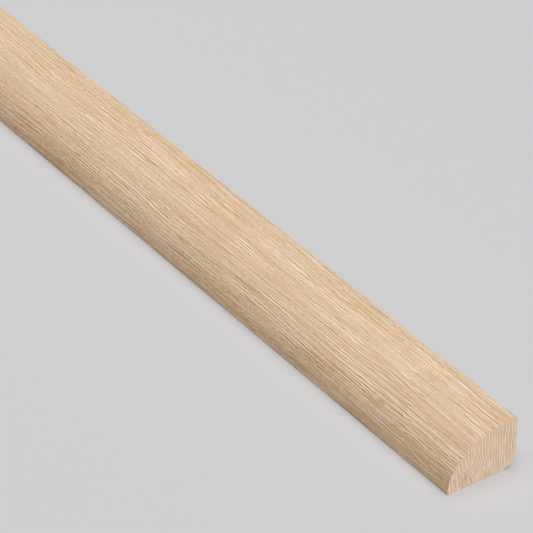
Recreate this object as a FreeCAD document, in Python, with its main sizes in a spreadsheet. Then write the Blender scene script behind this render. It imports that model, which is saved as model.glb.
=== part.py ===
"""Quarter round moulding: one length of solid oak with a moulded section.

The length lies along X. The curved face looks towards -Y and up, the flat back that goes against
the wall looks towards +Y, and the flat foot that goes on the floor lies on Z = 0. The origin is
the middle of the width, on the floor, halfway along. Sizes are in millimetres.
"""
import FreeCAD, Part
import math
import os
import Sketcher

# Each driving size, with what it measures on the real moulding
SIZES = {
    "stock_length": (914.4, "length as sold, 36 in"),
    "width": (19.0, "foot, from the front edge to the back face"),
    "height": (13.5, "back face, from the floor to the top"),
    "front_lip": (0.8, "upright flat below the curve, at the front edge"),
    "top_flat": (1.5, "level flat above the curve, at the back edge"),
    "relief_width": (3.2, "corner taken off the foot at the back, along the foot"),
    "relief_height": (2.4, "corner taken off the foot at the back, up the back face"),
    "eased_edge": (0.25, "radius left on the long edges by the moulder"),
}
NODE = "quarter_round"

# Two points closer than this are the same point
SAME_POINT = 1e-4

# Ends of a sketch line or arc, and an arc's centre, as constraints name them
START = 1
END = 2
CENTRE = 3
X_AXIS = -1


def add_sheet(doc):
    """A sheet with one row for each size: its name, its value under an alias, its meaning."""
    sheet = doc.addObject("Spreadsheet::Sheet", "Sizes")
    for row, (alias, (value, meaning)) in enumerate(SIZES.items(), start=1):
        sheet.set(f"A{row}", alias)
        sheet.set(f"B{row}", str(value))
        sheet.setAlias(f"B{row}", alias)
        sheet.set(f"C{row}", meaning)
    doc.recompute()
    return sheet


def origin_plane(body, role):
    """One of the body's own three planes."""
    return next(f for f in body.Origin.OriginFeatures if f.Role == role)


def draw_section(body, sheet):
    """The moulded section, looking along the length: foot, relief, back, top, curve, lip."""
    sketch = body.newObject("Sketcher::SketchObject", "Section")
    sketch.AttachmentSupport = (origin_plane(body, "YZ_Plane"), [""])
    sketch.MapMode = "FlatFace"

    # Corners where they will end up, so that the solver starts from the right shape
    front = -sheet.width / 2
    back = sheet.width / 2
    foot_front = FreeCAD.Vector(front, 0)
    foot_back = FreeCAD.Vector(back - sheet.relief_width, 0)
    back_low = FreeCAD.Vector(back, sheet.relief_height)
    back_top = FreeCAD.Vector(back, sheet.height)
    curve_top = FreeCAD.Vector(back - sheet.top_flat, sheet.height)
    curve_low = FreeCAD.Vector(front, sheet.front_lip)
    curve_middle = FreeCAD.Vector(curve_top.x, curve_low.y)

    foot = sketch.addGeometry(Part.LineSegment(foot_front, foot_back))
    relief = sketch.addGeometry(Part.LineSegment(foot_back, back_low))
    back_face = sketch.addGeometry(Part.LineSegment(back_low, back_top))
    top = sketch.addGeometry(Part.LineSegment(back_top, curve_top))
    lip = sketch.addGeometry(Part.LineSegment(curve_low, foot_front))

    # The curve is a quarter of an ellipse, wider than it is tall, from its top to its front end
    ellipse = Part.Ellipse(curve_middle, curve_middle.x - front, sheet.height - curve_middle.y)
    curve = sketch.addGeometry(Part.ArcOfEllipse(ellipse, math.pi / 2, math.pi))
    sketch.exposeInternalGeometry(curve)
    long_axis = curve + 1

    shape_rules = [
        ("Coincident", foot, END, relief, START),
        ("Coincident", relief, END, back_face, START),
        ("Coincident", back_face, END, top, START),
        ("Coincident", top, END, curve, START),
        ("Coincident", curve, END, lip, START),
        ("Coincident", lip, END, foot, START),
        ("PointOnObject", foot, START, X_AXIS),
        ("Horizontal", foot),
        ("Vertical", back_face),
        ("Horizontal", top),
        ("Vertical", lip),
        ("Horizontal", long_axis),
        ("Vertical", curve, CENTRE, curve, START),
        ("Horizontal", curve, CENTRE, curve, END),
    ]
    for rule in shape_rules:
        sketch.addConstraint(Sketcher.Constraint(*rule))

    # Sizes: from one corner to another, along or up, each bound to its cell
    measured = [
        ("half_width", "DistanceX", (foot, START), (X_AXIS, START), "width / 2"),
        ("width", "DistanceX", (foot, START), (back_face, END), "width"),
        ("height", "DistanceY", (foot, START), (back_face, END), "height"),
        ("front_lip", "DistanceY", (lip, END), (lip, START), "front_lip"),
        ("top_flat", "DistanceX", (top, END), (top, START), "top_flat"),
        ("relief_width", "DistanceX", (relief, START), (relief, END), "relief_width"),
        ("relief_height", "DistanceY", (relief, START), (relief, END), "relief_height"),
    ]
    corners = {
        (foot, START): foot_front, (back_face, END): back_top, (lip, END): foot_front,
        (lip, START): curve_low, (top, END): curve_top, (top, START): back_top,
        (relief, START): foot_back, (relief, END): back_low, (X_AXIS, START): FreeCAD.Vector(),
    }
    for name, kind, first, second, formula in measured:
        span = corners[second] - corners[first]
        distance = span.x if kind == "DistanceX" else span.y
        index = sketch.addConstraint(Sketcher.Constraint(kind, *first, *second, distance))
        sketch.renameConstraint(index, name)
        sketch.setExpression(f"Constraints.{name}", f"Sizes.{formula}")
    return sketch


def long_corner_edges(shape, sheet):
    """Names of the four long edges that stand at a corner of the section, where flats meet."""
    back = sheet.width / 2
    corners = [
        FreeCAD.Vector(0, -back, 0),
        FreeCAD.Vector(0, back - sheet.relief_width, 0),
        FreeCAD.Vector(0, back, sheet.relief_height),
        FreeCAD.Vector(0, back, sheet.height),
    ]
    names = []
    for number, edge in enumerate(shape.Edges, start=1):
        middle = edge.CenterOfMass
        if any(middle.isEqual(corner, SAME_POINT) for corner in corners):
            names.append(f"Edge{number}")
    return names


def add_moulding(doc, sheet):
    """The whole piece: the section run to its length, with its long edges eased."""
    body = doc.addObject("PartDesign::Body", "Moulding")
    body.Label = NODE
    section = draw_section(body, sheet)
    doc.recompute()

    run = body.newObject("PartDesign::Pad", "Run")
    run.Profile = section
    run.SideType = "Symmetric"
    run.setExpression("Length", "Sizes.stock_length")
    doc.recompute()

    eased = body.newObject("PartDesign::Fillet", "EasedEdges")
    eased.Base = (run, long_corner_edges(run.Shape, sheet))
    eased.setExpression("Radius", "Sizes.eased_edge")
    body.Tip = eased
    doc.recompute()
    return body


def check(doc, body):
    """Stops before anything is written if a feature failed or the solid isn't sound."""
    for item in doc.Objects:
        faults = [state for state in item.State if state in ("Invalid", "Error")]
        if faults:
            raise RuntimeError(f"{item.Label} is {faults}")
    shape = body.Shape
    if shape.isNull() or not shape.isValid() or len(shape.Solids) != 1:
        raise RuntimeError(f"{body.Label} isn't one valid solid")


def expected_volume(sheet):
    """The section's area with sharp corners, times the length."""
    reach = sheet.width - sheet.top_flat
    rise = sheet.height - sheet.front_lip
    curve_area = math.pi / 4 * reach * rise
    lip_area = reach * sheet.front_lip
    top_area = sheet.top_flat * sheet.height
    relief_area = sheet.relief_width * sheet.relief_height / 2
    return (curve_area + lip_area + top_area - relief_area) * sheet.stock_length


doc = FreeCAD.newDocument("QuarterRound")
sheet = add_sheet(doc)
body = add_moulding(doc, sheet)
check(doc, body)

box = body.Shape.BoundBox
share = body.Shape.Volume / expected_volume(sheet)
print(f"section fully constrained: {doc.Section.FullyConstrained}")
print(f"box {box.XLength:.2f} x {box.YLength:.2f} x {box.ZLength:.2f} mm")
print(f"volume {body.Shape.Volume / 1000:.2f} cm3, {share:.5f} of the sharp-edged section's")

os.makedirs("parts", exist_ok=True)
body.Shape.exportStep(f"parts/{NODE}.step")
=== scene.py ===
# %% [markdown]
# # A length of oak quarter round
# Quarter round is the small moulding that covers the gap between a wood floor and the wall. A
# moulder cuts it from a strip of oak in one pass, so every slice across the length is the same.
# The lesson follows that order: the section, the run along the length, the wire brushing, the oak
# itself, and then a plain studio to look at it in.

import math

import bmesh
import bpy
import numpy as np
from mathutils import Matrix, Vector


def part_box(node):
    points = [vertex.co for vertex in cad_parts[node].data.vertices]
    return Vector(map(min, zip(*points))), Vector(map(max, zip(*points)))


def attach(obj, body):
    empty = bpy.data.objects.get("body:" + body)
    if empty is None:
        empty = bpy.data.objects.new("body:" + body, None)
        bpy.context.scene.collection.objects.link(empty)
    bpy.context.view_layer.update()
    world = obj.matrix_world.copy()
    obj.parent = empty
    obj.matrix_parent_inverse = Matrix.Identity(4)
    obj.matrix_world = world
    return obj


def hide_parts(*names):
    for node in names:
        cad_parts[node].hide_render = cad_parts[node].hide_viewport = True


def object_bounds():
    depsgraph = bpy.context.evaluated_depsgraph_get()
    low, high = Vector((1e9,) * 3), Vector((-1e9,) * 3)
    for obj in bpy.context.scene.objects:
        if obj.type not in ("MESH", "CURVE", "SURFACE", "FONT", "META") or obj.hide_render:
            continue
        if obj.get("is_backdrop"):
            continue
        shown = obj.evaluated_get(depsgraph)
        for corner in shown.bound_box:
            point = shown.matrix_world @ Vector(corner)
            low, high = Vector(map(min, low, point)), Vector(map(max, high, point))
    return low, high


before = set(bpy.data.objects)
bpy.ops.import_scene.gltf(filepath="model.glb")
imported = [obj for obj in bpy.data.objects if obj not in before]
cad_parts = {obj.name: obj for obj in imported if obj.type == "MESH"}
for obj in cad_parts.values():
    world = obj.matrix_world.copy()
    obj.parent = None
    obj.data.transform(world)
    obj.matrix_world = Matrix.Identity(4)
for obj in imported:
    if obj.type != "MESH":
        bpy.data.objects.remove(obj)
cad_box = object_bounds()
MM = 0.001

lowest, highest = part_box("quarter_round")
length, width, height = highest - lowest
print(f"strip {length / MM:.1f} x {width / MM:.1f} x {height / MM:.1f} mm")

# %% [markdown]
# ## The section
# Six runs make the outline: a corner taken off behind the foot, the back, a narrow flat on top,
# the curve, a low upright lip at the front, and the foot. The curve is a quarter of an ellipse,
# because the strip is wider than it is tall. A few points would be enough to draw it, but brushing
# needs points to press in, so the face that shows is divided finely and the hidden ones coarsely.
# Patterns are laid by the distance round the outline. That distance jumps back to zero where the
# outline closes, so the outline starts inside the narrowest arris, behind the foot.

# %% Sizes of the section
LIP = 0.8 * MM
TOP_FLAT = 1.5 * MM
RELIEF_WIDTH = 3.2 * MM
RELIEF_HEIGHT = 2.4 * MM
ARRIS_RADIUS = 0.25 * MM

front, back = lowest.y, highest.y
curve_reach = width - TOP_FLAT
curve_rise = height - LIP
print(f"the curve is {curve_reach / MM:.1f} mm wide and {curve_rise / MM:.1f} mm tall")

# %% Pieces of an outline
ARRIS_STEPS = 3
CURVE_SAMPLES = 2000
SHOWN_STEP = 0.125 * MM
HIDDEN_STEP = 1.6 * MM


def straight(start, end, step):
    """Points from start up to, but not with, end, about a step apart."""
    count = max(1, round((end - start).length / step))
    return [start.lerp(end, i / count) for i in range(count)]


def eased(before, corner, after):
    """Points of the small arc that takes the sharpness off a corner, ends included."""
    into = (corner - before).normalized()
    out = (after - corner).normalized()
    turn = into.angle(out)
    start = corner - into * ARRIS_RADIUS * math.tan(turn / 2)
    inward = Vector((-into.y, into.x))
    centre = start + inward * ARRIS_RADIUS
    angles = [turn * i / ARRIS_STEPS for i in range(ARRIS_STEPS + 1)]
    return [centre + (into * math.sin(a) - inward * math.cos(a)) * ARRIS_RADIUS for a in angles]


def quarter_curve(step):
    """Points down the elliptical curve, from the top flat to the lip, about a step apart."""
    turn = np.linspace(0, math.pi / 2, CURVE_SAMPLES)
    across = back - TOP_FLAT - curve_reach * np.sin(turn)
    up = LIP + curve_rise * np.cos(turn)
    run = np.concatenate([[0], np.cumsum(np.hypot(np.diff(across), np.diff(up)))])
    stops = np.linspace(0, run[-1], round(run[-1] / step) + 1)[:-1]
    return [Vector(p) for p in zip(np.interp(stops, run, across), np.interp(stops, run, up))]


print(f"{len(quarter_curve(SHOWN_STEP))} points down the curve, {SHOWN_STEP / MM:.3f} mm apart")

# %% Draw the outline
foot_front = Vector((front, 0))
foot_back = Vector((back - RELIEF_WIDTH, 0))
back_low = Vector((back, RELIEF_HEIGHT))
back_top = Vector((back, height))
curve_top = Vector((back - TOP_FLAT, height))
curve_low = Vector((front, LIP))

foot_arris = eased(foot_front, foot_back, back_low)
back_arris = eased(foot_back, back_low, back_top)
top_arris = eased(back_low, back_top, curve_top)
front_arris = eased(curve_low, foot_front, foot_back)

behind = foot_arris[1:] + straight(foot_arris[-1], back_arris[0], HIDDEN_STEP)[1:]
behind += back_arris + straight(back_arris[-1], top_arris[0], HIDDEN_STEP)[1:]
shown = top_arris + straight(top_arris[-1], curve_top, SHOWN_STEP)[1:]
shown += quarter_curve(SHOWN_STEP) + straight(curve_low, front_arris[0], SHOWN_STEP)
under = front_arris + straight(front_arris[-1], foot_arris[0], HIDDEN_STEP)[1:] + foot_arris[:1]
outline = behind + shown + under
print(f"{len(shown)} points on the face that shows, {len(behind) + len(under)} on the rest")


# %% Measure round the outline
def run_length(points):
    return sum((b - a).length for a, b in zip(points, points[1:]))


shown_from = run_length(outline[:len(behind) + 1])
shown_to = run_length(outline[:len(behind) + len(shown) + 1])
girth = run_length(outline + outline[:1])
print(f"girth {girth / MM:.1f} mm, of which {(shown_to - shown_from) / MM:.1f} mm show")

# %% The outline as a curve
section = bpy.data.curves.new("moulding_section", "CURVE")
section.dimensions = "3D"
spline = section.splines.new("POLY")
spline.points.add(len(outline) - 1)
spline.points.foreach_set("co", [c for p in outline for c in (p.x, p.y, 0, 1)])
spline.use_cyclic_u = True
strip = bpy.data.objects.new("moulding_section", section)
bpy.context.scene.collection.objects.link(strip)
print(f"section curve: {len(spline.points)} points")

# %% [markdown]
# ## Helpers for node trees
# Geometry trees and materials are both made of nodes whose sockets hold a value or a link. One
# small function adds a node and fills its sockets, and a few more name the sums that come up again
# and again. They work in both kinds of tree, so the wood that is pressed into the mesh and the
# wood that is painted on it come from the same sums.


# %% Sums in nodes
def add(tree, kind, sockets=None, **settings):
    """Adds a node. sockets maps an input's name or number to a value, or to an output to link."""
    node = tree.nodes.new(kind)
    for name, value in settings.items():
        setattr(node, name, value)
    for name, value in (sockets or {}).items():
        if isinstance(value, bpy.types.NodeSocket):
            tree.links.new(value, node.inputs[name])
        else:
            node.inputs[name].default_value = value
    return node


def calc(tree, operation, *values):
    """One sum of one, two or three values."""
    return add(tree, "ShaderNodeMath", dict(enumerate(values)), operation=operation).outputs[0]


def total(tree, first, *others):
    for value in others:
        first = calc(tree, "ADD", first, value)
    return first


def product(tree, first, *others):
    for value in others:
        first = calc(tree, "MULTIPLY", first, value)
    return first


def remap(tree, value, low, high, to_low=0.0, to_high=1.0, kind="LINEAR"):
    """Maps low..high onto to_low..to_high, held level past either end."""
    return add(tree, "ShaderNodeMapRange", {
        "Value": value, "From Min": low, "From Max": high, "To Min": to_low, "To Max": to_high,
    }, interpolation_type=kind).outputs[0]


print("sums:", ", ".join(helper.__name__ for helper in (calc, total, product, remap)))


# %% Places in nodes
def vector_calc(tree, operation, *values):
    return add(tree, "ShaderNodeVectorMath", dict(enumerate(values)), operation=operation)


def combine(tree, x=0.0, y=0.0, z=0.0):
    return add(tree, "ShaderNodeCombineXYZ", {"X": x, "Y": y, "Z": z}).outputs[0]


def separate(tree, vector):
    return add(tree, "ShaderNodeSeparateXYZ", {"Vector": vector}).outputs


def nearness(tree, place, middle, reach_along, reach_across):
    """1 at the middle of a spot, fading to 0 about two reaches away, along and across."""
    away = vector_calc(tree, "SUBTRACT", place, middle).outputs[0]
    in_reaches = vector_calc(tree, "DIVIDE", away, (reach_along, reach_across, 1)).outputs[0]
    squared = vector_calc(tree, "DOT_PRODUCT", in_reaches, in_reaches).outputs["Value"]
    return calc(tree, "EXPONENT", calc(tree, "MULTIPLY", squared, -1))


def hand_curve(tree, value, points):
    """Reads a curve drawn through the given points: 0 to 1 in, -1 to 1 out."""
    node = add(tree, "ShaderNodeFloatCurve", {"Value": value})
    line = node.mapping.curves[0]
    line.points[0].location = points[0]
    line.points[-1].location = points[-1]
    for point in points[1:-1]:
        line.points.new(*point)
    node.mapping.update()
    return remap(tree, node.outputs[0], 0, 1, -1, 1)


print("places:", ", ".join(helper.__name__ for helper in (combine, separate, nearness, hand_curve)))

# %% [markdown]
# ## Streaks and threads
# Two patterns make the oak. Streaks are a noise pulled out along the grain: soft changes of tone
# with no edge. Threads are the hard fibres that the wire brush left standing: thin lines of one
# width that run on for a centimetre or more, fade out and start again. Cutting a noise at one value
# gives lines too, but they swell wherever the noise is level. So the threads are laid in rows
# instead, one to a row, each a little off its row's middle and with its own faint and strong
# stretches. A patchy layer also lets neighbours grow strong and faint together, because oak has
# coarse patches and smooth ones. Each pattern is a node group, made once for geometry and once for
# materials.


# %% One group for each kind of tree
def make_groups(name, inputs, outputs, fill):
    """The same group for geometry and for materials. Each takes a place and some numbers."""
    groups = {}
    for tree_type in ("GeometryNodeTree", "ShaderNodeTree"):
        group = bpy.data.node_groups.new(name, tree_type)
        group.interface.new_socket("Place", in_out="INPUT", socket_type="NodeSocketVector")
        for label in inputs:
            group.interface.new_socket(label, in_out="INPUT", socket_type="NodeSocketFloat")
        for label in outputs:
            group.interface.new_socket(label, in_out="OUTPUT", socket_type="NodeSocketFloat")
        add(group, "NodeGroupOutput", fill(group, add(group, "NodeGroupInput").outputs))
        groups[tree_type] = group
    print(f"{name}: {len(group.nodes)} nodes, made for {len(groups)} kinds of tree")
    return groups


def use_group(tree, groups, sockets):
    """Places a group in a tree, whichever kind of tree it is."""
    kind = "GeometryNodeGroup" if tree.bl_idname == "GeometryNodeTree" else "ShaderNodeGroup"
    return add(tree, kind, sockets, node_tree=groups[tree.bl_idname]).outputs


print("groups:", ", ".join(helper.__name__ for helper in (make_groups, use_group)))


# %% Streaks
def fill_streaks(tree, given):
    size = combine(tree, given["Along"], given["Across"], 1.0)
    cells = vector_calc(tree, "DIVIDE", given["Place"], size).outputs[0]
    moved = vector_calc(tree, "ADD", cells, combine(tree, z=given["Seed"])).outputs[0]
    noise = add(tree, "ShaderNodeTexNoise", {"Vector": moved, "Scale": 1.0, "Detail": given["Detail"]})
    return {"Streaks": remap(tree, noise.outputs[0], given["Low"], given["High"])}


streak_groups = make_groups(
    "oak_streaks", ("Along", "Across", "Seed", "Detail", "Low", "High"), ("Streaks",), fill_streaks)


def lay_streaks(tree, place, along, across, seed, detail=2.0, low=0.0, high=1.0):
    """Streaks from 0 to 1: how long and how wide they are, and how much of the noise they keep."""
    return use_group(tree, streak_groups, {
        "Place": place, "Along": along, "Across": across, "Seed": seed, "Detail": detail,
        "Low": low, "High": high})["Streaks"]


def lay_swing(tree, place, reach=1.0, **streak):
    """Streaks that swing to both sides of nothing, from -reach to reach."""
    return remap(tree, lay_streaks(tree, place, **streak), 0, 1, -reach, reach)


# %% Threads
ROW_STEP = 1.618
ROW_SHIFT = 37.0
PATCH_ROWS = 9.0
PATCH_NOISE = (0.35, 0.65)
PATCH_STRENGTH = (0.1, 2.2)


def fill_threads(tree, given):
    """Where a place lies across the nearest thread, 0 to 1, and how strong that thread is there."""
    place = separate(tree, given["Place"])
    rows = calc(tree, "DIVIDE", place["Y"], given["Spacing"])
    row = calc(tree, "FLOOR", rows)
    chance = add(tree, "ShaderNodeTexWhiteNoise", {"W": calc(tree, "ADD", row, given["Seed"])},
                 noise_dimensions="1D").outputs["Value"]

    half = calc(tree, "DIVIDE", given["Reach"], given["Spacing"])
    room = calc(tree, "SUBTRACT", 1.0, calc(tree, "MULTIPLY", half, 2))
    middle = calc(tree, "ADD", half, calc(tree, "MULTIPLY", chance, room))
    off_middle = calc(tree, "SUBTRACT", calc(tree, "SUBTRACT", rows, row), middle)
    across = remap(tree, off_middle, calc(tree, "MULTIPLY", half, -1), half)

    along = calc(tree, "DIVIDE", place["X"], given["Length"])
    started = calc(tree, "ADD", along, calc(tree, "MULTIPLY", chance, ROW_SHIFT))
    own_place = combine(tree, started, calc(tree, "MULTIPLY", row, ROW_STEP), given["Seed"])
    own = add(tree, "ShaderNodeTexNoise", {"Vector": own_place, "Scale": 1.0, "Detail": 1.0})
    own = remap(tree, own.outputs[0], given["Low"], given["High"])
    patch_place = combine(tree, along, calc(tree, "DIVIDE", rows, PATCH_ROWS), given["Seed"])
    patch = add(tree, "ShaderNodeTexNoise", {"Vector": patch_place, "Scale": 1.0, "Detail": 0.0})
    patch = remap(tree, patch.outputs[0], *PATCH_NOISE, *PATCH_STRENGTH)
    shared = remap(tree, given["Patchy"], 0, 1, 1.0, patch)
    return {"Across": across, "Strength": calc(tree, "MULTIPLY", own, shared)}


thread_groups = make_groups(
    "oak_threads", ("Spacing", "Reach", "Length", "Seed", "Low", "High", "Patchy"),
    ("Across", "Strength"), fill_threads)


def lay_threads(tree, place, layer, profile):
    """A layer of threads with the given profile: -1 to 1, and 0 between the threads."""
    given = use_group(tree, thread_groups, {"Place": place, **layer})
    return calc(tree, "MULTIPLY", given["Strength"], hand_curve(tree, given["Across"], profile))


# %% Three layers of threads
LONG_THREADS = dict(Spacing=1.05 * MM, Reach=0.27 * MM, Length=14 * MM, Seed=25.5, Low=0.44,
                    High=0.60, Patchy=1.0)
SHORT_THREADS = dict(Spacing=0.7 * MM, Reach=0.26 * MM, Length=8 * MM, Seed=33.5, Low=0.44,
                     High=0.62, Patchy=1.0)
PALE_THREADS = dict(Spacing=2.3 * MM, Reach=0.2 * MM, Length=30 * MM, Seed=91.5, Low=0.45,
                    High=0.52, Patchy=0.0)

# Profiles across a thread, from its back to its front side. 0.5 is level.
THREAD_RISE = [(0.0, 0.5), (0.30, 1.0), (0.58, 0.0), (0.84, 0.62), (1.0, 0.5)]
THREAD_TONE = [(0.0, 0.5), (0.22, 1.0), (0.52, 0.0), (0.82, 0.72), (1.0, 0.5)]
PALE_TONE = [(0.0, 0.5), (0.35, 1.0), (0.70, 0.3), (1.0, 0.5)]
layers = {"long": LONG_THREADS, "short": SHORT_THREADS, "pale": PALE_THREADS}
for name, layer in layers.items():
    print(f"{name} threads: {(shown_to - shown_from) / layer['Spacing']:.0f} rows on the shown face")

# %% [markdown]
# ## Running the section along the length
# A Solidify on an extruded outline would give the shape, but no surface to brush. Curve to Mesh
# carries the outline along a line of many rings and fills both ends. The brushing then presses
# each point of the face that shows in along its normal: a wire brush takes the soft early wood out
# and leaves the hard fibres standing. It fades out just before every edge and both saw cuts, so that
# they stay straight. The back and the foot stay as the moulder left them.

# %% Inputs of the moulding tree
run_tree = bpy.data.node_groups.new("Brushed moulding run", "GeometryNodeTree")
for name, kind in {
    "Section": "Geometry", "Length": "Float", "Rings": "Int", "Brushing Depth": "Float",
    "Shown From": "Float", "Shown To": "Float", "Knot Along": "Float", "Knot Around": "Float",
    "Long Grain": "Material", "End Grain": "Material",
}.items():
    run_tree.interface.new_socket(name, in_out="INPUT", socket_type="NodeSocket" + kind)
run_tree.interface.new_socket("Strip", in_out="OUTPUT", socket_type="NodeSocketGeometry")
given = add(run_tree, "NodeGroupInput").outputs
print("inputs:", ", ".join(socket.name for socket in given if socket.name))

# %% Sweep the section
half_run = calc(run_tree, "MULTIPLY", given["Length"], 0.5)
rail = add(run_tree, "GeometryNodeCurvePrimitiveLine", {
    "Start": combine(run_tree, calc(run_tree, "MULTIPLY", half_run, -1)),
    "End": combine(run_tree, half_run),
})
rings = add(run_tree, "GeometryNodeResampleCurve", {"Curve": rail.outputs[0], "Count": given["Rings"]})
upright = add(run_tree, "GeometryNodeSetCurveTilt", {"Curve": rings.outputs[0], "Tilt": math.pi})
measured = add(run_tree, "GeometryNodeStoreNamedAttribute", {
    "Geometry": given["Section"], "Name": "around",
    "Value": add(run_tree, "GeometryNodeSplineParameter").outputs["Length"],
})
swept = add(run_tree, "GeometryNodeCurveToMesh", {
    "Curve": upright.outputs[0], "Profile Curve": measured.outputs[0], "Fill Caps": True,
})
print(f"moulding tree so far: {len(run_tree.nodes)} nodes")

# %% [markdown]
# ## Where the grain runs
# Grain in a sawn strip is nearly straight, but it wanders by a millimetre or two, and it bows
# round a knot. Bending every pattern by itself would be hard to keep in step, so the mesh carries
# one attribute instead: the place along and around the strip, with the wander and the bow added.
# Patterns drawn on it as straight lines come out bent, in the mesh and in the material alike.

# %% The grain's own coordinates
WANDER = {"along": 60 * MM, "across": 8 * MM, "seed": 3.0}
WANDER_REACH = 1.6 * MM
WOBBLE = {"along": 12 * MM, "across": 3 * MM, "seed": 8.0, "detail": 1.0}
WOBBLE_REACH = 0.35 * MM
EYE_ALONG = 3.5 * MM
EYE_ACROSS = 1.8 * MM
EYE_PULL = 0.25

around = add(run_tree, "GeometryNodeInputNamedAttribute", {"Name": "around"}).outputs[0]
along = separate(run_tree, add(run_tree, "GeometryNodeInputPosition").outputs[0])["X"]
place = combine(run_tree, along, around)
knot = combine(run_tree, given["Knot Along"], given["Knot Around"])
by_knot = nearness(run_tree, place, knot, EYE_ALONG, EYE_ACROSS)
from_knot = calc(run_tree, "SUBTRACT", around, given["Knot Around"])
grain = combine(run_tree, along, total(
    run_tree, around, lay_swing(run_tree, place, WANDER_REACH, **WANDER),
    lay_swing(run_tree, place, WOBBLE_REACH, **WOBBLE),
    product(run_tree, from_knot, by_knot, -EYE_PULL)))
with_grain = add(run_tree, "GeometryNodeStoreNamedAttribute", {
    "Geometry": swept.outputs[0], "Name": "grain", "Value": grain,
}, data_type="FLOAT_VECTOR")
print(f"the grain may wander {(WANDER_REACH + WOBBLE_REACH) / MM:.2f} mm to either side")

# %% Press the face in between the threads
FADE = 0.4 * MM

rise = lay_threads(run_tree, grain, LONG_THREADS, THREAD_RISE)
pressed = remap(run_tree, rise, -1, 1, -1, 0)
from_top = calc(run_tree, "SUBTRACT", around, given["Shown From"])
to_foot = calc(run_tree, "SUBTRACT", given["Shown To"], around)
brushed_share = remap(run_tree, calc(run_tree, "MINIMUM", from_top, to_foot), 0.0, FADE)
to_cut = calc(run_tree, "SUBTRACT", half_run, calc(run_tree, "ABSOLUTE", along))
off_cut = remap(run_tree, to_cut, 0.0, FADE)
push = product(run_tree, pressed, brushed_share, off_cut, given["Brushing Depth"])
facing = add(run_tree, "GeometryNodeInputNormal").outputs[0]
sideways = vector_calc(run_tree, "MULTIPLY", facing, (0, 1, 1)).outputs[0]
outwards = vector_calc(run_tree, "NORMALIZE", sideways).outputs[0]
offset = add(run_tree, "ShaderNodeVectorMath", {0: outwards, "Scale": push}, operation="SCALE")
brushed = add(run_tree, "GeometryNodeSetPosition", {
    "Geometry": with_grain.outputs[0], "Offset": offset.outputs[0]})
print(f"brushing fades out over the last {FADE / MM:.1f} mm at every edge")

# %% Materials on the faces
END_FACING = 0.9

turned_to_end = calc(run_tree, "ABSOLUTE", separate(run_tree, facing)["X"])
is_end = calc(run_tree, "GREATER_THAN", turned_to_end, END_FACING)
sides = add(run_tree, "GeometryNodeSetMaterial", {
    "Geometry": brushed.outputs[0], "Material": given["Long Grain"],
})
ends = add(run_tree, "GeometryNodeSetMaterial", {
    "Geometry": sides.outputs[0], "Selection": is_end, "Material": given["End Grain"],
})
solid = add(run_tree, "GeometryNodeRealizeInstances", {"Geometry": ends.outputs[0]})
add(run_tree, "NodeGroupOutput", {"Strip": solid.outputs[0]})
print(f"moulding tree: {len(run_tree.nodes)} nodes")

# %% [markdown]
# ## The oak along the grain
# White oak under a matt clear coat: a golden tan with thin dark threads, each with a paler edge
# where the brush rounded it. One picture of the grain would be the quick way, but a strip this long
# would show it repeating. So the colours are mixed from one measure, the shade, which adds up the
# threads, the fine fibre between them and the short dark pores. A little noise frays the threads
# and lets the short ones stray. Towards the front the threads get more contrast, which is painted light
# and shade of the brushed relief, and the colour is painted darker and browner there as shade. Wide
# bands, streaks and small dabs of deeper tan lie over it, and a soft brown spot is the one small
# knot. Only what is too fine for the mesh goes into the bump.


# %% Material helpers
SPECULAR = 0.1


def new_material(name):
    material = bpy.data.materials.new(name)
    material.use_nodes = True
    material.node_tree.nodes.clear()
    return material, material.node_tree


def mix_colour(tree, share, first, second, blend="MIX"):
    node = add(tree, "ShaderNodeMix", data_type="RGBA", blend_type=blend)
    for name, value in (("Factor_Float", share), ("A_Color", first), ("B_Color", second)):
        socket = next(s for s in node.inputs if s.identifier == name)
        if isinstance(value, bpy.types.NodeSocket):
            tree.links.new(value, socket)
        else:
            socket.default_value = value
    return next(s for s in node.outputs if s.identifier == "Result_Color")


def matt_coat(tree, colour, shade, dark_roughness, light_roughness, relief):
    """The finish: the colour, a roughness that follows the shade, and the fine relief."""
    roughness = remap(tree, shade, -1, 1, dark_roughness, light_roughness)
    bump = add(tree, "ShaderNodeBump", {"Height": relief, "Distance": 1.0}).outputs[0]
    finish = add(tree, "ShaderNodeBsdfPrincipled", {
        "Base Color": colour, "Roughness": roughness, "Specular IOR Level": SPECULAR,
        "Normal": bump})
    add(tree, "ShaderNodeOutputMaterial", {"Surface": finish.outputs[0]})
    print(f"matt coat: roughness {light_roughness} to {dark_roughness}, {len(tree.nodes)} nodes in all")


print("materials:", ", ".join(helper.__name__ for helper in (new_material, mix_colour, matt_coat)))

# %% Shade of the long grain
LONG_PART = 1.7
SHORT_PART = 1.4
PALE_PART = 1.0
MEANDER = {"along": 25 * MM, "across": 1.8 * MM, "seed": 47.0}
MEANDER_REACH = 0.6 * MM
FRAY = {"along": 3 * MM, "across": 0.5 * MM, "seed": 53.0, "detail": 1.0}
FRAY_REACH = 0.15 * MM
FIBRE = {"along": 26 * MM, "across": 0.3 * MM, "seed": 31.0, "low": 0.25, "high": 0.75}
FIBRE_PART = 0.8
PORE = {"along": 1.3 * MM, "across": 0.2 * MM, "seed": 37.0, "detail": 0.0, "low": 0.2, "high": 0.8}
PORE_PART = 0.4
TONE = {"along": 40 * MM, "across": 1.6 * MM, "seed": 41.0, "low": 0.2, "high": 0.8}
TONE_PART = 0.2

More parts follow.
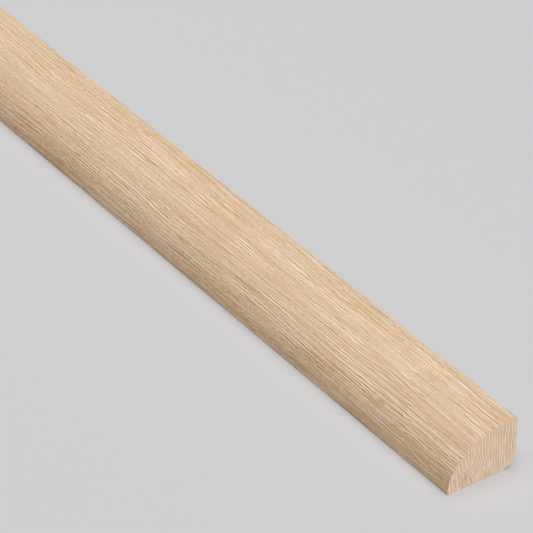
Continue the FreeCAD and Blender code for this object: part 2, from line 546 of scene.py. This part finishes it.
long_grain, tree = new_material("oak_long_grain")
grain_place = add(tree, "ShaderNodeAttribute", attribute_name="grain").outputs["Vector"]
fray = combine(tree, y=lay_swing(tree, grain_place, FRAY_REACH, **FRAY))
long_place = vector_calc(tree, "ADD", grain_place, fray).outputs[0]
meander = combine(tree, y=lay_swing(tree, grain_place, MEANDER_REACH, **MEANDER))
short_place = vector_calc(tree, "ADD", long_place, meander).outputs[0]
long_tone = lay_threads(tree, long_place, LONG_THREADS, THREAD_TONE)
short_tone = lay_threads(tree, short_place, SHORT_THREADS, THREAD_TONE)
pale_tone = lay_threads(tree, long_place, PALE_THREADS, PALE_TONE)
fibres = lay_swing(tree, grain_place, **FIBRE)
shade = total(
    tree, product(tree, long_tone, LONG_PART), product(tree, short_tone, SHORT_PART),
    product(tree, pale_tone, PALE_PART),
    product(tree, fibres, FIBRE_PART), lay_swing(tree, grain_place, PORE_PART, **PORE),
    lay_swing(tree, grain_place, TONE_PART, **TONE))
print(f"shade: {len(tree.nodes)} nodes")

# %% More contrast at the front and at the back
FRONT_REACH = 13.0 * MM
BACK_FROM = 18.5 * MM
BACK_FULL = 22.5 * MM
FRONT_CONTRAST = 2.35
MIDDLE_CONTRAST = 0.75
BACK_CONTRAST = 1.08

around = add(tree, "ShaderNodeAttribute", attribute_name="around").outputs["Fac"]
up_face = calc(tree, "SUBTRACT", shown_to, around)
on_face = calc(tree, "GREATER_THAN", up_face, 0.0)
low_front = product(tree, remap(tree, up_face, FRONT_REACH, 0.0), on_face)
high_back = remap(tree, up_face, BACK_FROM, BACK_FULL)
# Towards the front, the extra contrast is painted light and shade of the brushed relief
contrast = total(tree, remap(tree, low_front, 0, 1, MIDDLE_CONTRAST, FRONT_CONTRAST),
                 product(tree, high_back, BACK_CONTRAST - MIDDLE_CONTRAST))
print(f"contrast: front {FRONT_CONTRAST}, middle {MIDDLE_CONTRAST}, back {BACK_CONTRAST}")

# %% [markdown]
# ## Threads drawn one by one
# The layers fill the strip with threads, and noise decides where each one lies. Close to the near
# saw cut a few threads stand out, so they are placed: two pale ones side by side that run on to the
# cut, two short ones below them, and one that swerves down towards the foot, beside a calm stretch.
# They could be curves with a thickness, laid on the wood, but a thread is no more than a change of
# tone. So each is a path that a curve node reads, to say how high up the face the thread lies. Its
# tone takes the place of the pattern under it, now fainter and now stronger, as in a real thread.

# %% Paths of the drawn threads
# In millimetres: how far from the near end, and how far up the face
DRAWN_THREADS = {
    "upper": [(0, 9.65), (4, 9.5), (8, 9.8), (12, 9.8), (16, 9.65), (20, 9.55), (27, 9.85)],
    "lower": [(0, 8.0), (3, 8.0), (6, 8.2), (11, 8.4), (14, 8.45), (19, 8.15)],
    "swerving": [(7, 2.4), (12.3, 2.75), (14.2, 3.25), (15.8, 3.7), (20, 3.75), (28, 3.7)],
    "at the cut": [(0, 5.9), (4, 6.15)],
    "short": [(12.5, 6.05), (15, 6.25), (17, 6.0)],
}
DRAWN_SPAN = 32.0
DRAWN_TALL = 12.0
print("drawn threads:", ", ".join(DRAWN_THREADS))

# %% One thread along its path
DRAWN_REACH = 0.3
DRAWN_FADE = 3.0
DRAWN_TONE = [(0.0, 0.5), (0.33, 1.0), (0.7, 0.22), (1.0, 0.5)]


def draw_thread(tree, from_end, up_face, path):
    """A drawn thread's tone at a place, -1 to 1, and how much of the place it takes, 0 to 1."""
    points = [(x / DRAWN_SPAN, y / DRAWN_TALL) for x, y in path]
    path_there = hand_curve(tree, remap(tree, from_end, 0, DRAWN_SPAN), points)
    below = calc(tree, "SUBTRACT", remap(tree, path_there, -1, 1, 0, DRAWN_TALL), up_face)
    tone = hand_curve(tree, remap(tree, below, -DRAWN_REACH, DRAWN_REACH), DRAWN_TONE)
    across = remap(tree, calc(tree, "ABSOLUTE", below), DRAWN_REACH, DRAWN_REACH / 2)
    starts = remap(tree, from_end, path[0][0] - DRAWN_FADE, path[0][0])
    stops = remap(tree, from_end, path[-1][0] + DRAWN_FADE, path[-1][0])
    return tone, product(tree, across, starts, stops)


print(f"a drawn thread is {2 * DRAWN_REACH:.1f} mm wide, and fades over {DRAWN_FADE:.0f} mm")

# %% Lay them over the other threads
DRAWN_PART = 1.3
COMING_AND_GOING = {"along": 4 * MM, "across": 1 * MM, "seed": 97.0, "low": 0.35, "high": 0.6}
FAINTEST = 0.5

# The middle of the calm stretch, in millimetres as the paths are, its reach and how calm it is
CALM = (9.0, 4.7, 0)
CALM_LONG = 9.0
CALM_TALL = 2.4
CALM_PART = 0.5

along = separate(tree, add(tree, "ShaderNodeTexCoord").outputs["Object"])["X"]
from_end = calc(tree, "DIVIDE", calc(tree, "SUBTRACT", highest.x, along), MM)
up_in_mm = calc(tree, "DIVIDE", up_face, MM)
strength = remap(tree, lay_streaks(tree, grain_place, **COMING_AND_GOING), 0, 1, FAINTEST, 1)
calm = nearness(tree, combine(tree, from_end, up_in_mm), CALM, CALM_LONG, CALM_TALL)
shade = product(tree, shade, remap(tree, calm, 0, 1, 1, 1 - CALM_PART))
rims = 0.0
for path in DRAWN_THREADS.values():
    tone, share = draw_thread(tree, from_end, up_in_mm, path)
    share = product(tree, share, strength)
    others = product(tree, shade, calc(tree, "SUBTRACT", 1.0, share))
    shade = total(tree, others, product(tree, tone, share, DRAWN_PART))
    rims = total(tree, rims, product(tree, share, calc(tree, "MAXIMUM", tone, 0.0)))
shade = product(tree, shade, contrast)
print(f"shade with drawn threads: {len(tree.nodes)} nodes")

# %% Colour of the long grain
LIGHT = (0.95, 0.785, 0.60, 1)
DARK = (0.52, 0.325, 0.17, 1)
BAND = {"along": 150 * MM, "across": 5 * MM, "seed": 23.0, "low": 0.54, "high": 0.36}
BAND_TAN = (0.965, 0.93, 0.89, 1)
# Painted shade: a darker, browner tint multiplied in towards the foot
FRONT_PAINTED_SHADE = (0.93, 0.85, 0.74, 1)
BACK_STREAK = {"along": 60 * MM, "across": 1.5 * MM, "seed": 83.0, "low": 0.25, "high": 0.6}
BACK_TAN = (0.95, 0.90, 0.83, 1)
DAB = {"along": 8 * MM, "across": 1.1 * MM, "seed": 89.0, "low": 0.58, "high": 0.72}
DAB_TAN = (0.95, 0.84, 0.70, 1)
RIM_LIGHT = (0.98, 0.86, 0.71, 1)
RIM_PART = 0.55

colour = mix_colour(tree, remap(tree, shade, -1, 1), DARK, LIGHT)
bands = lay_streaks(tree, grain_place, **BAND)
colour = mix_colour(tree, bands, colour, BAND_TAN, "MULTIPLY")
# Painted shade: towards the foot the colour is multiplied darker and browner, for the shade that the
# front of the curve lies in
colour = mix_colour(tree, low_front, colour, FRONT_PAINTED_SHADE, "MULTIPLY")
back_streaks = product(tree, high_back, lay_streaks(tree, grain_place, **BACK_STREAK))
colour = mix_colour(tree, back_streaks, colour, BACK_TAN, "MULTIPLY")
colour = mix_colour(tree, lay_streaks(tree, grain_place, **DAB), colour, DAB_TAN, "MULTIPLY")
colour = mix_colour(tree, product(tree, rims, RIM_PART), colour, RIM_LIGHT)
print(f"long grain between {DARK[:3]} and {LIGHT[:3]}")

# %% The knot
KNOT_FROM_END = 28 * MM
KNOT_UP_FACE = 7.75 * MM
KNOT_LONG = 0.95 * MM
KNOT_WIDE = 0.5 * MM
KNOT_BROWN = (0.68, 0.36, 0.17, 1)
KNOT_PART = 0.5

knot_along = highest.x - KNOT_FROM_END
knot_around = shown_to - KNOT_UP_FACE
knot_share = nearness(tree, combine(tree, along, around), (knot_along, knot_around, 0),
                      KNOT_LONG, KNOT_WIDE)
colour = mix_colour(tree, product(tree, knot_share, KNOT_PART), colour, KNOT_BROWN)
print(f"knot {KNOT_FROM_END / MM:.0f} mm from the near end, {KNOT_UP_FACE / MM:.2f} mm up the face")

# %% Fine relief and the finish
SHORT_RISE = 0.02 * MM
FIBRE_RISE = 0.015 * MM
BRUSHED_ROUGHNESS = (0.68, 0.54)

short_relief = lay_threads(tree, short_place, SHORT_THREADS, THREAD_RISE)
fine_relief = total(tree, product(tree, short_relief, SHORT_RISE), product(tree, fibres, FIBRE_RISE))
matt_coat(tree, colour, shade, *BRUSHED_ROUGHNESS, fine_relief)

# %% [markdown]
# ## The end grain
# The saw cut shows the strip from its end, where the growth rings are cut across. They stand nearly
# upright, about a millimetre apart, and near the front they bow round the root of a small branch.
# The cut is duller than the brushed face. A wave texture would draw rings that are all alike. So
# the threads group draws them, and only its place is different, because a ring runs up the end and
# not along the strip.

# %% Where the rings run
RING_THREADS = dict(Spacing=0.82 * MM, Reach=0.37 * MM, Length=12 * MM, Seed=64.5, Low=0.22,
                    High=0.52, Patchy=0.0)
RING_WANDER = {"along": 9 * MM, "across": 3.5 * MM, "seed": 59.0, "detail": 1.0}
RING_REACH = 0.5 * MM
SWEEP_FROM_FRONT = 7.4 * MM
SWEEP_WIDE = 3.9 * MM
SWEEP_TOP = 8.5 * MM
SWEEP_REACH = 3.6 * MM

end_grain, tree = new_material("oak_end_grain")
on_piece = separate(tree, add(tree, "ShaderNodeTexCoord").outputs["Object"])
up_end = on_piece["Z"]
across_end = calc(tree, "SUBTRACT", on_piece["Y"], front)
end_place = combine(tree, up_end, across_end)
on_near_end = calc(tree, "GREATER_THAN", on_piece["X"], 0.0)
sweep_middle = (0, SWEEP_FROM_FRONT, 0)
swept_share = nearness(tree, combine(tree, y=across_end), sweep_middle, 1.0, SWEEP_WIDE)
lowness = remap(tree, up_end, SWEEP_TOP, 0.0, kind="SMOOTHSTEP")
sweep = product(tree, swept_share, lowness, on_near_end, -SWEEP_REACH)
lean = lay_swing(tree, end_place, RING_REACH, **RING_WANDER)
ring_place = combine(tree, up_end, total(tree, across_end, sweep, lean))
print(f"rings every {RING_THREADS['Spacing'] / MM:.2f} mm, swept {SWEEP_REACH / MM:.1f} mm at most")

# %% The small branch has rings of its own
BRANCH = (2.4 * MM, 4.4 * MM, 0)
BRANCH_TALL = 3.0 * MM
BRANCH_WIDE = 2.3 * MM
BRANCH_RINGS = dict(Spacing=0.62 * MM, Reach=0.28 * MM, Length=3 * MM, Seed=73.5, Low=0.3,
                    High=0.6, Patchy=0.0)

branch = product(tree, nearness(tree, end_place, BRANCH, BRANCH_TALL, BRANCH_WIDE), on_near_end)
away = vector_calc(tree, "SUBTRACT", end_place, BRANCH).outputs[0]
from_branch = vector_calc(tree, "LENGTH", away).outputs["Value"]
branch_place = combine(tree, up_end, total(tree, from_branch, lean))
print(f"branch {BRANCH[1] / MM:.1f} mm from the front and {BRANCH[0] / MM:.1f} mm up")

# %% Colour of the end grain
END_LIGHT = (0.92, 0.785, 0.61, 1)
END_DARK = (0.50, 0.305, 0.18, 1)
RING_TONE = [(0.0, 0.5), (0.22, 0.18), (0.5, 1.0), (0.78, 0.18), (1.0, 0.5)]
RING_PART = 0.8
END_FIBRE = {"along": 2.4 * MM, "across": 0.26 * MM, "seed": 61.0, "low": 0.25, "high": 0.75}
END_FIBRE_PART = 0.55
END_TONE = {"along": 5 * MM, "across": 2 * MM, "seed": 67.0, "low": 0.2, "high": 0.8}
END_TONE_PART = 0.25

ring_tone = lay_threads(tree, ring_place, RING_THREADS, RING_TONE)
branch_tone = lay_threads(tree, branch_place, BRANCH_RINGS, RING_TONE)
off_branch = calc(tree, "SUBTRACT", 1.0, branch)
shade = total(
    tree, product(tree, ring_tone, off_branch, RING_PART), product(tree, branch_tone, branch, RING_PART),
    lay_swing(tree, end_place, END_FIBRE_PART, **END_FIBRE),
    lay_swing(tree, end_place, END_TONE_PART, **END_TONE))
colour = mix_colour(tree, remap(tree, shade, -1, 1), END_DARK, END_LIGHT)
print(f"end grain between {END_DARK[:3]} and {END_LIGHT[:3]}")

# %% The heart of the branch, the flecks round it and the finish
HEART = (2.5 * MM, 5.0 * MM, 0)
HEART_TALL = 0.75 * MM
HEART_WIDE = 0.35 * MM
HEART_PART = 0.8
FLECK = {"along": 0.9 * MM, "across": 0.4 * MM, "seed": 75.0, "detail": 1.0, "low": 0.5, "high": 0.62}
FLECK_BROWN = (0.44, 0.26, 0.185, 1)
FLECK_PART = 0.6
RING_RISE = 0.03 * MM
SAWN_ROUGHNESS = (0.82, 0.70)

heart = nearness(tree, end_place, HEART, HEART_TALL, HEART_WIDE)
flecks = lay_streaks(tree, end_place, **FLECK)
browned = calc(tree, "MAXIMUM", product(tree, heart, on_near_end, HEART_PART),
               product(tree, flecks, branch, FLECK_PART))
colour = mix_colour(tree, browned, colour, FLECK_BROWN)
matt_coat(tree, colour, shade, *SAWN_ROUGHNESS, product(tree, shade, RING_RISE))

# %% [markdown]
# ## Making the strip
# The tree and both materials are ready, so the outline goes through a Geometry Nodes modifier once
# and the result is kept as a plain mesh. There are enough rings for a thread to fade in and out
# along the strip, and they stay under the 200,000 triangles that one piece may have. The rings are
# an odd number, so that one of them stands exactly at the middle, where the map is cut later.

# %% Run the modifier once
RINGS = 401
BRUSHING_DEPTH = 0.07 * MM

run = strip.modifiers.new("run", "NODES")
run.node_group = run_tree
wanted = {
    "Length": length, "Rings": RINGS, "Brushing Depth": BRUSHING_DEPTH, "Shown From": shown_from,
    "Shown To": shown_to, "Knot Along": knot_along, "Knot Around": knot_around,
    "Long Grain": long_grain, "End Grain": end_grain,
}
for item in run_tree.interface.items_tree:
    if item.in_out == "INPUT" and item.name in wanted:
        run[item.identifier] = wanted[item.name]
seen = strip.evaluated_get(bpy.context.evaluated_depsgraph_get())
mesh = bpy.data.meshes.new_from_object(seen)
mesh.name = "oak_moulding"
moulding = bpy.data.objects.new("oak_moulding", mesh)
bpy.context.scene.collection.objects.link(moulding)
strip.modifiers.remove(run)
bpy.data.objects.remove(strip)
triangles = sum(len(p.vertices) - 2 for p in mesh.polygons)
print(f"moulding: {len(mesh.vertices)} points, {triangles} triangles, "
      f"materials {[m.name for m in mesh.materials]}")

# %% Is it closed, with its faces outwards?
CM = 10 * MM

solid_check = bmesh.new()
solid_check.from_mesh(mesh)
open_edges = sum(not edge.is_manifold for edge in solid_check.edges)
volume = solid_check.calc_volume(signed=True)
solid_check.free()
print(f"{open_edges} open edges, {volume / CM ** 3:.1f} cm3 with the faces outwards")

# %% [markdown]
# ## A map to bake the oak on
# A viewer that can't run these materials needs them baked to one square picture. The strip is
# forty-eight times as long as it is wide, so at one scale its threads would be finer than a pixel.
# But they change fast across the face and slowly along it. So the map squeezes the length: the
# strip is cut at its middle, the two halves lie one above the other across the whole picture, and
# the hidden faces get half the height. Both ends lie at true proportions in the row that is left.


# %% Read the mesh
def read(items, name, kind, count=1):
    """One property of every item, as an array with a row for each."""
    values = np.zeros(len(items) * count, kind)
    items.foreach_get(name, values)
    return values.reshape(-1, count) if count > 1 else values


corner_point = read(mesh.loops, "vertex_index", int)
corner_face = np.repeat(np.arange(len(mesh.polygons)), read(mesh.polygons, "loop_total", int))
corner_place = read(mesh.vertices, "co", float, 3)[corner_point]
round_at = read(mesh.attributes["around"].data, "value", np.float32)[corner_point]
face_middle = read(mesh.polygons, "center", float, 3)[corner_face]
end_slot = mesh.materials.find(end_grain.name)
on_end = read(mesh.polygons, "material_index", int)[corner_face] == end_slot
far_half = face_middle[:, 0] < 0
print(f"{len(corner_point)} corners, {on_end.sum()} of them on the two ends")

# %% Place every corner on the map
MAP_NAME = "OFBake"
MAP_GAP = 0.005
STRIP_ROW = 0.42
HIDDEN_SHARE = 0.5
END_SCALE = 0.01 / MM

# In the column of faces that closes the outline, the distance round it goes on to the whole girth
last_column = np.maximum.reduceat(round_at, np.flatnonzero(np.diff(corner_face, prepend=-1)))
round_at = np.where((round_at == 0) & (last_column[corner_face] > girth / 2), girth, round_at)
stops = np.cumsum([0, shown_from * HIDDEN_SHARE, shown_to - shown_from,
                   (girth - shown_to) * HIDDEN_SHARE])
height_at = np.interp(round_at, [0, shown_from, shown_to, girth], stops / stops[-1] * STRIP_ROW)
second_row = 2 * MAP_GAP + STRIP_ROW
third_row = 3 * MAP_GAP + 2 * STRIP_ROW
half_length = length / 2
along_half = np.where(far_half, corner_place[:, 0] + half_length, corner_place[:, 0]) / half_length
side_u = MAP_GAP + along_half * (1 - 2 * MAP_GAP)
side_v = height_at + np.where(far_half, second_row, MAP_GAP)

from_left = np.where(far_half, back - corner_place[:, 1], corner_place[:, 1] - front) * END_SCALE
end_u = from_left + np.where(far_half, 2 * MAP_GAP + width * END_SCALE, MAP_GAP)
end_v = corner_place[:, 2] * END_SCALE + third_row
places = np.stack([np.where(on_end, end_u, side_u), np.where(on_end, end_v, side_v)], axis=1)
mesh.uv_layers.new(name=MAP_NAME).data.foreach_set("uv", places.ravel())
print(f"map spans {np.round(places.min(axis=0), 3)} to {np.round(places.max(axis=0), 3)}")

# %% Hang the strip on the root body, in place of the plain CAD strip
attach(moulding, "root")
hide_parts("quarter_round")
print(f"{moulding.name} takes the place of the plain strip")

# %% [markdown]
# ## The studio
# A pale grey floor runs on behind the strip as the backdrop. Lamps close by would light one end of
# so long a strip more than the other, so two broad suns stand for the softboxes: one nearly
# overhead, and one from the side of the near end, so that the saw cut isn't left in shadow. The
# room itself is dim. It lights the strip with a little white from all round, and the camera and
# mirror-like rays see the floor's own grey instead.

# %% The floor
FLOOR_SIZE = 12.0
FLOOR_GREY = (0.611, 0.610, 0.623, 1)

# A hair below the foot, so that the two faces don't lie in one plane
FLOOR_DROP = 0.02 * MM

reach = FLOOR_SIZE / 2
floor_corners = [(-reach, -reach, 0), (reach, -reach, 0), (reach, reach, 0), (-reach, reach, 0)]
floor_mesh = bpy.data.meshes.new("studio_floor")
floor_mesh.from_pydata(floor_corners, [], [(0, 1, 2, 3)])
floor = bpy.data.objects.new("studio_floor", floor_mesh)
floor.location.z = -FLOOR_DROP
bpy.context.scene.collection.objects.link(floor)
floor_paint, tree = new_material("studio_floor")
paint = add(tree, "ShaderNodeBsdfDiffuse", {"Color": FLOOR_GREY})
add(tree, "ShaderNodeOutputMaterial", {"Surface": paint.outputs[0]})
floor_mesh.materials.append(floor_paint)
floor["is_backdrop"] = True
print(f"floor {FLOOR_SIZE:.0f} m across")

# %% The room
ROOM = 0.16

world = bpy.data.worlds.new("studio")
bpy.context.scene.world = world
world.use_nodes = True
tree = world.node_tree
tree.nodes.clear()
ray = add(tree, "ShaderNodeLightPath").outputs
mirrored = calc(tree, "MAXIMUM", ray["Is Glossy Ray"], ray["Is Transmission Ray"])
seen_by = calc(tree, "MAXIMUM", ray["Is Camera Ray"], mirrored)
room = add(tree, "ShaderNodeBackground", {"Color": (1, 1, 1, 1), "Strength": ROOM}).outputs[0]
backdrop = add(tree, "ShaderNodeBackground", {"Color": FLOOR_GREY, "Strength": 1.0}).outputs[0]
mixed = add(tree, "ShaderNodeMixShader", {0: seen_by, 1: room, 2: backdrop}).outputs[0]
add(tree, "ShaderNodeOutputWorld", {"Surface": mixed})
print(f"room: {ROOM:.0%} of white")

# %% The lights
SQUARE_ON = math.pi


def sun(name, azimuth, elevation, share, spread):
    """A wide, soft sun. Azimuth 0 comes from -Y, 90 from +X and 180 from +Y.

    A share of 1 shows a colour that faces the sun square on as it is written."""
    lamp = bpy.data.lights.new(name, "SUN")
    lamp.energy = share * SQUARE_ON
    lamp.angle = math.radians(spread)
    holder = bpy.data.objects.new(name, lamp)
    a, e = math.radians(azimuth), math.radians(elevation)
    towards = Vector((math.sin(a) * math.cos(e), -math.cos(a) * math.cos(e), math.sin(e)))
    holder.rotation_euler = towards.to_track_quat("Z", "Y").to_euler()
    bpy.context.scene.collection.objects.link(holder)
    print(f"{name}: {share:.0%}, {elevation} degrees up")


sun("overhead_softbox", azimuth=180, elevation=85, share=0.51, spread=70)
sun("side_softbox", azimuth=83, elevation=35, share=0.60, spread=50)

# %% [markdown]
# ## The camera
# A long lens from well back keeps the strip's edges nearly parallel. A camera that is aimed at the
# strip would put it in the middle, but here the near end lies low on the right. So the camera is
# told where it stands, as an azimuth and an elevation about the foot's near front corner, and how
# far it is moved sideways and up from there.

# %% The camera
FRAME_PIXELS = 533
FOCAL_PIXELS = 3362.57
SENSOR_WIDTH = 36
VIEW_AZIMUTH = -35.8556
VIEW_ELEVATION = 34.5003
VIEW_ROLL = 0.9532
VIEW_DISTANCE = 743.781 * MM
AIM_RIGHT = -40.0075 * MM
AIM_UP = 50.6137 * MM
NEAREST_SEEN = 10 * MM

az, el, roll = (math.radians(v) for v in (VIEW_AZIMUTH, VIEW_ELEVATION, VIEW_ROLL))
towards = Vector((math.cos(el) * math.cos(az), math.cos(el) * math.sin(az), math.sin(el)))
level_right = Vector((-math.sin(az), math.cos(az), 0))
level_up = towards.cross(level_right)
right = level_right * math.cos(roll) + level_up * math.sin(roll)
up = level_up * math.cos(roll) - level_right * math.sin(roll)
near_corner = Vector((highest.x, front, 0))
stand = near_corner + right * AIM_RIGHT + up * AIM_UP + towards * VIEW_DISTANCE

camera = bpy.data.cameras.new("camera")
camera.sensor_width = SENSOR_WIDTH
camera.lens = FOCAL_PIXELS / FRAME_PIXELS * SENSOR_WIDTH
camera.clip_start = NEAREST_SEEN
holder = bpy.data.objects.new("camera", camera)
holder.matrix_world = Matrix.Translation(stand) @ Matrix((right, up, towards)).transposed().to_4x4()
bpy.context.scene.collection.objects.link(holder)
bpy.context.scene.camera = holder
print(f"camera: {camera.lens:.0f} mm lens, {(stand - near_corner).length:.2f} m away")

# %% [markdown]
# ## Plain colours, and the sizes side by side
# The Standard view transform shows each colour as it was mixed. The last step writes down the size
# of the CAD part and of the finished mesh, to show that brushing didn't make the strip bigger.

# %% Plain colours and sizes
bpy.context.scene.view_settings.view_transform = "Standard"
sizes = {"cad": cad_box, "visual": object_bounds()}
for name, (low, high) in sizes.items():
    print(name, " x ".join(f"{(b - a) / MM:.2f}" for a, b in zip(low, high)), "mm")
